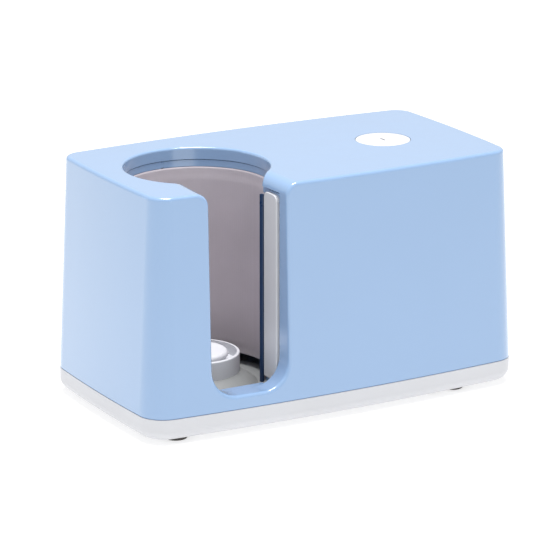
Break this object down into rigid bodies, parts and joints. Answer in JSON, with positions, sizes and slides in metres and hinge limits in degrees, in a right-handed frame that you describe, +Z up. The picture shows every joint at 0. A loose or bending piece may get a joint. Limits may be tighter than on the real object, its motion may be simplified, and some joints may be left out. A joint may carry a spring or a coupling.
{
  "type": "automatic mug heat press",
  "caption": "Automatic heat press for mugs: a moulded case with a heated clamping well and handle slot, screw-driven jaws, start button, mug sensor and mains inlet.",
  "frame": {"origin": "on the floor under the middle of the case", "axes": "+X along the case from the mug well towards the start button, +Y towards the back, +Z up"},
  "size_m": [0.29, 0.1606, 0.167],
  "materials": {
    "shell_blue": "satin gloss moulded, pale blue",
    "tray_white": "satin moulded, white",
    "rubber_dark": "matt",
    "steel": "zinc plated",
    "pad_grey": "satin silicone sheet, warm grey",
    "well_grey": "matt grey moulded",
    "pedestal_grey": "matt light grey moulded",
    "black_plastic": "fine textured black",
    "nylon": "natural nylon",
    "brass": "machined",
    "board_green": "solder mask",
    "aluminium": "extruded",
    "component_blue": "sleeve",
    "coil_yellow": "taped winding",
    "felt": "needled ceramic felt",
    "indicator": "smoked light guide"
  },
  "bodies": {
    "case": {"upper_shell": "shell_blue", "base_tray": "tray_white", "rubber_feet": "rubber_dark", "case_screws": "steel", "well_floor": "well_grey", "pedestal": "pedestal_grey", "sensor_switch": "black_plastic", "sensor_spring": "steel", "hinge_bracket": "steel", "hinge_pin": "steel", "bracket_screws": "steel", "screw_bearings": "nylon", "motor_bracket": "steel", "motor_screws": "steel", "motor_gearbox": "steel", "drive_motor": "steel", "limit_switches": "black_plastic", "button_board": "board_green", "button_screws": "steel", "button_switch": "black_plastic", "button_spring": "steel", "power_inlet": "black_plastic", "inlet_pins": "brass", "rocker_frame": "black_plastic", "control_board": "board_green", "board_screws": "steel", "transformer": "coil_yellow", "heater_relay": "black_plastic", "capacitors": "component_blue", "terminal_block": "component_blue", "heat_sink": "aluminium", "power_switch": "black_plastic", "beeper": "black_plastic"},
    "mug_sensor": {"sensor_plunger": "pedestal_grey"},
    "left_jaw": {"left_jaw_carrier": "shell_blue", "left_clamp_bar": "tray_white", "left_drive_arm": "steel", "left_heater_pad": "pad_grey", "left_insulation_wrap": "felt", "left_arm_screws": "steel", "left_bar_screws": "steel"},
    "right_jaw": {"right_jaw_carrier": "shell_blue", "right_clamp_bar": "tray_white", "right_drive_arm": "steel", "right_heater_pad": "pad_grey", "right_insulation_wrap": "felt", "right_arm_screws": "steel", "right_bar_screws": "steel"},
    "lead_screw": {"lead_screw": "steel", "screw_gear": "nylon"},
    "left_nut": {"left_drive_nut": "brass", "left_nut_pin": "steel"},
    "right_nut": {"right_drive_nut": "brass", "right_nut_pin": "steel"},
    "motor_output": {"motor_gear": "nylon", "output_shaft": "steel"},
    "start_button": {"start_button": "tray_white", "button_indicator": "indicator"},
    "power_rocker": {"rocker_button": "black_plastic"}
  },
  "joints": [
    {"name": "lead_screw_turn", "type": "hinge", "parent": "case", "child": "lead_screw", "pos_m": [-0.0702, -0.06598, 0.014], "axis": [1, 0, 0], "range_deg": [0, 626.32]},
    {"name": "left_jaw_close", "type": "hinge", "parent": "case", "child": "left_jaw", "pos_m": [-0.0702, 0.0584, 0.09], "axis": [0, 0, 1], "range_deg": [0, 3]},
    {"name": "right_jaw_close", "type": "hinge", "parent": "case", "child": "right_jaw", "pos_m": [-0.0702, 0.0584, 0.09], "axis": [0, 0, -1], "range_deg": [0, 3]},
    {"name": "left_nut_slide", "type": "slide", "parent": "case", "child": "left_nut", "axis": [1, 0, 0], "range_m": [0, 0.00696]},
    {"name": "right_nut_slide", "type": "slide", "parent": "case", "child": "right_nut", "axis": [-1, 0, 0], "range_m": [0, 0.00696]},
    {"name": "motor_output_turn", "type": "hinge", "parent": "case", "child": "motor_output", "pos_m": [-0.0132, -0.05611, 0.02759], "axis": [-1, 0, 0], "range_deg": [0, 469.74]},
    {"name": "mug_sensor_press", "type": "slide", "parent": "case", "child": "mug_sensor", "axis": [0, 0, -1], "range_m": [0, 0.0012], "stiffness_N_per_m": 400, "springref_m": -0.002, "deforming": ["sensor_spring"]},
    {"name": "start_button_press", "type": "slide", "parent": "case", "child": "start_button", "axis": [0, 0, -1], "range_m": [0, 0.0012], "stiffness_N_per_m": 500, "springref_m": -0.0015, "deforming": ["button_spring"]},
    {"name": "power_rocker_turn", "type": "hinge", "parent": "case", "child": "power_rocker", "pos_m": [0.066, 0.071, 0.042], "axis": [1, 0, 0], "range_deg": [0, 14]}
  ],
  "couplings": [
    {"joint": "right_jaw_close", "follows": "left_jaw_close", "ratio": 1},
    {"joint": "lead_screw_turn", "follows": "left_jaw_close", "ratio": 208.77},
    {"joint": "left_nut_slide", "follows": "left_jaw_close", "m_per_rad": 0.13291},
    {"joint": "right_nut_slide", "follows": "left_jaw_close", "m_per_rad": 0.13291},
    {"joint": "motor_output_turn", "follows": "left_jaw_close", "ratio": 156.58}
  ]
}
